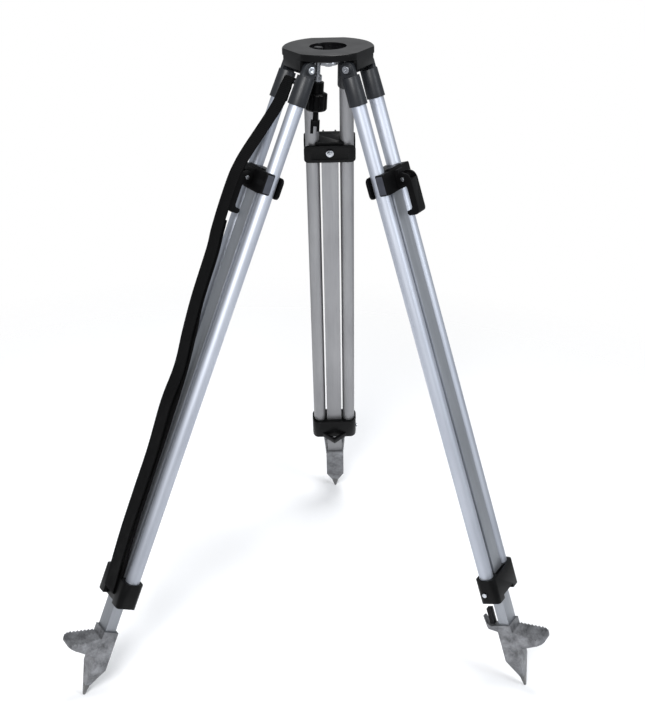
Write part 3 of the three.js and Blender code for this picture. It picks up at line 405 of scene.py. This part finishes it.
def make_materials():
    made = {
        "head": head_paint("head_paint"),
        "zinc": grained("bright_zinc", ZINC, ZINC_ROUGH, metallic=1.0, pitch_mm=1.2, height_mm=0.03),
        "screw": screw_steel("screw_steel"),
        "sleeve": grained("sleeve_paint", SLEEVE, SLEEVE_ROUGH, metallic=0.0, pitch_mm=1.3,
                          height_mm=0.12, specular=0.4),
        "plastic": grained("moulded_black", PLASTIC, PLASTIC_ROUGH, metallic=0.0, pitch_mm=0.7,
                           height_mm=0.07, specular=0.1),
        "casting": grained("raw_casting", CASTING, CASTING_ROUGH, metallic=0.6, pitch_mm=1.6,
                           height_mm=0.35, mottle=CASTING_MOTTLE_SCALE),
        "steel": grained("ground_steel", STEEL, STEEL_ROUGH, metallic=0.8, pitch_mm=0.8, height_mm=0.08),
        "rubber": grained("black_rubber", RUBBER, RUBBER_ROUGH, metallic=0.0, pitch_mm=0.8,
                          height_mm=0.08, specular=0.25),
        "webbing": webbing("nylon_webbing"),
    }
    for leg in LEGS:
        # the back leg's tube and bar materials are darker with painted shade
        made["tube_" + leg] = drawn_metal("anodised_tube_" + leg, leg, TUBE_PAINTED_SHADE[leg], TUBE_ROUGH)
        made["bar_" + leg] = drawn_metal("anodised_bar_" + leg, leg, BAR_PAINTED_SHADE[leg], BAR_ROUGH)
        made["clamp_tab_" + leg] = tab_plastic("clamp_plastic_" + leg, leg)
    return made


# ---- carried-over pieces --------------------------------------------------------------------------

def round_edges(obj, width_mm):
    bevel = obj.modifiers.new("round_edges", "BEVEL")
    bevel.width = width_mm * MM
    bevel.segments = BEVEL_SEGMENTS
    bevel.limit_method = "ANGLE"
    bevel.angle_limit = math.radians(SMOOTH_ANGLE)
    bevel.use_clamp_overlap = True


def finish_piece(obj, slot):
    """Shades a piece smooth with its hard edges rounded; a tube's wall is too thin for that, so its ends
    are only split from its sides."""
    weld = obj.modifiers.new("weld", "WELD")
    weld.merge_threshold = WELD_DISTANCE
    if slot != "tube":
        round_edges(obj, BEVELS.get(slot, BEVEL_DEFAULT))
    split = obj.modifiers.new("split_hard_edges", "EDGE_SPLIT")
    split.split_angle = math.radians(SMOOTH_ANGLE)
    for face in obj.data.polygons:
        face.use_smooth = True


def dress(materials):
    """Gives every carried-over piece its material; some slots have one material for each leg."""
    slots = {part["node"]: part["material_slot"] for part in frame["record"]["subparts"]}
    for name, obj in frame["nodes"].items():
        slot = slots[name]
        key = slot + "_" + name.split("_")[0] if slot in ("tube", "bar", "clamp_tab") else slot
        key = "screw" if name == "fixing_screw" else key
        obj.data.materials.clear()
        obj.data.materials.append(materials[key])
        finish_piece(obj, slot)


# ---- strap ----------------------------------------------------------------------------------------

def catmull(points, step):
    """A smooth line through the points, sampled about every step."""
    line = []
    padded = [points[0], *points, points[-1]]
    for a, b, c, d in zip(padded, padded[1:], padded[2:], padded[3:]):
        count = max(2, int((c - b).length / step))
        for k in range(count):
            t = k / count
            line.append(0.5 * (2 * b + (c - a) * t + (2 * a - 5 * b + 4 * c - d) * t * t
                               + (3 * b - a - 3 * c + d) * t ** 3))
    line.append(points[-1])
    return line


def strap_line():
    """Loop round the bar, run down outside the lever, turn under the bracket, run back up."""
    loop = []
    bar = Vector((STRAP_BAR_CENTRE[0], -STRAP_BAR_CENTRE[1]))
    for k in range(STRAP_LOOP_POINTS):
        angle = math.radians(STRAP_LOOP_START - k * STRAP_LOOP_STEP)
        loop.append(bar + Vector((math.cos(angle), math.sin(angle))) * STRAP_LOOP_RADIUS)
    turn = []
    for k in range(1, STRAP_TURN_PARTS):
        angle = k * math.pi / STRAP_TURN_PARTS
        out = STRAP_TURN_CENTRE[0] + STRAP_TURN_RADIUS * math.cos(angle)
        depth = STRAP_TURN_CENTRE[1] + STRAP_TURN_RADIUS * math.sin(angle)
        turn.append(Vector((out, -depth)))
    down = [Vector((out, -depth)) for out, depth in STRAP_DOWN]
    back = [Vector((out, -depth)) for out, depth in STRAP_BACK]
    return catmull(loop + down[1:] + turn + back, STRAP_STEP)


def half_width(depth):
    """The webbing gathers to pass between the sleeves."""
    blend = min(1.0, max(0.0, (depth - STRAP_BAR_CENTRE[1]) / (STRAP_NECK_END - STRAP_BAR_CENTRE[1])))
    smooth = blend * blend * (3 - 2 * blend)
    return STRAP_NECK_HALF_WIDTH + (STRAP_HALF_WIDTH - STRAP_NECK_HALF_WIDTH) * smooth


def strap_rings(line):
    """The cross section set square to the line at each of its points, as one list of corners."""
    matrix = leg_matrix("left")
    corners = []
    for k, at in enumerate(line):
        along = (line[min(k + 1, len(line) - 1)] - line[max(k - 1, 0)]).normalized()
        normal = Vector((-along.y, along.x))
        wide = half_width(-at.y)
        for across, thick in STRAP_SECTION:
            out = at + normal * (thick * STRAP_THICKNESS)
            corners.append(matrix @ (Vector((out.x, across * wide, out.y)) * MM))
    return corners


def ring_faces(rings, size):
    """Joins each ring of corners to the next, and closes both ends."""
    faces = []
    for k in range(rings - 1):
        for s in range(size):
            n = (s + 1) % size
            faces.append((k * size + s, k * size + n, (k + 1) * size + n, (k + 1) * size + s))
    faces.append(tuple(range(size))[::-1])
    faces.append(tuple((rings - 1) * size + s for s in range(size)))
    return faces


def make_strap(material):
    line = strap_line()
    mesh = bpy.data.meshes.new("webbing_strap")
    mesh.from_pydata(strap_rings(line), [], ring_faces(len(line), len(STRAP_SECTION)))
    mesh.materials.append(material)
    obj = bpy.data.objects.new("webbing_strap", mesh)
    bpy.context.scene.collection.objects.link(obj)
    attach(obj, "left_upper")
    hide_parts("strap")


# ---- stage ----------------------------------------------------------------------------------------

def make_camera():
    data = bpy.data.cameras.new("camera")
    data.lens = CAMERA_LENS
    data.sensor_width = SENSOR_WIDTH
    data.sensor_fit = "HORIZONTAL"
    data.clip_end = CAMERA_REACH
    camera = bpy.data.objects.new("camera", data)
    camera.location = CAMERA_PLACE
    camera.rotation_euler = [math.radians(a) for a in CAMERA_TURN]
    bpy.context.scene.collection.objects.link(camera)
    bpy.context.scene.camera = camera


def make_light(name, place, aim, size, power, color):
    data = bpy.data.lights.new(name, "AREA")
    data.shape = "RECTANGLE"
    data.size, data.size_y = size
    data.energy = power
    data.color = color
    light = bpy.data.objects.new(name, data)
    light.location = place
    light.rotation_euler = (Vector(aim) - Vector(place)).to_track_quat("-Z", "Y").to_euler()
    bpy.context.scene.collection.objects.link(light)


def make_world():
    """White backdrop; the light that it gives is dimmer, so that the lamps shape the object."""
    world = bpy.data.worlds.new("studio")
    world.use_nodes = True
    tree = world.node_tree
    lamp = tree.nodes["Background"]
    lamp.inputs["Color"].default_value = (*WORLD_COLOR, 1)
    lamp.inputs["Strength"].default_value = WORLD_LIGHT
    backdrop = tree.nodes.new("ShaderNodeBackground")
    backdrop.inputs["Color"].default_value = (*WHITE, 1)
    path = tree.nodes.new("ShaderNodeLightPath")
    mix = tree.nodes.new("ShaderNodeMixShader")
    tree.links.new(path.outputs["Is Camera Ray"], mix.inputs["Fac"])
    tree.links.new(lamp.outputs["Background"], mix.inputs[1])
    tree.links.new(backdrop.outputs["Background"], mix.inputs[2])
    tree.links.new(mix.outputs["Shader"], tree.nodes["World Output"].inputs["Surface"])
    bpy.context.scene.world = world


def fading_floor(name):
    """Pale and matt, solid under the object and clear at the floor's edge."""
    n = Nodes(name)
    n.shader.inputs["Base Color"].default_value = (*FLOOR_COLOR, 1)
    n.shader.inputs["Roughness"].default_value = FLOOR_ROUGHNESS
    away = n.add("ShaderNodeVectorMath", operation="LENGTH")
    n.link(n.coordinates(), away.inputs[0])
    fade = n.remap(away.outputs["Value"], FLOOR_SOLID_RADIUS, FLOOR_RADIUS, 1.0, 0.0)
    n.link(fade, n.shader.inputs["Alpha"])
    return n.material


def make_stage():
    """A pale floor that fades out before its edge, a white backdrop and three soft lamps."""
    bpy.ops.mesh.primitive_circle_add(
        vertices=FLOOR_SIDES, radius=FLOOR_RADIUS, fill_type="NGON", location=(0, 0, FLOOR_HEIGHT))
    floor = bpy.context.object
    floor.name = "floor"
    floor.data.materials.append(fading_floor("pale_floor"))
    make_world()
    for lamp in LAMPS:
        make_light(*lamp)
    bpy.context.scene.view_settings.view_transform = "Standard"


materials = make_materials()
dress(materials)
make_strap(materials["webbing"])
make_camera()
make_stage()
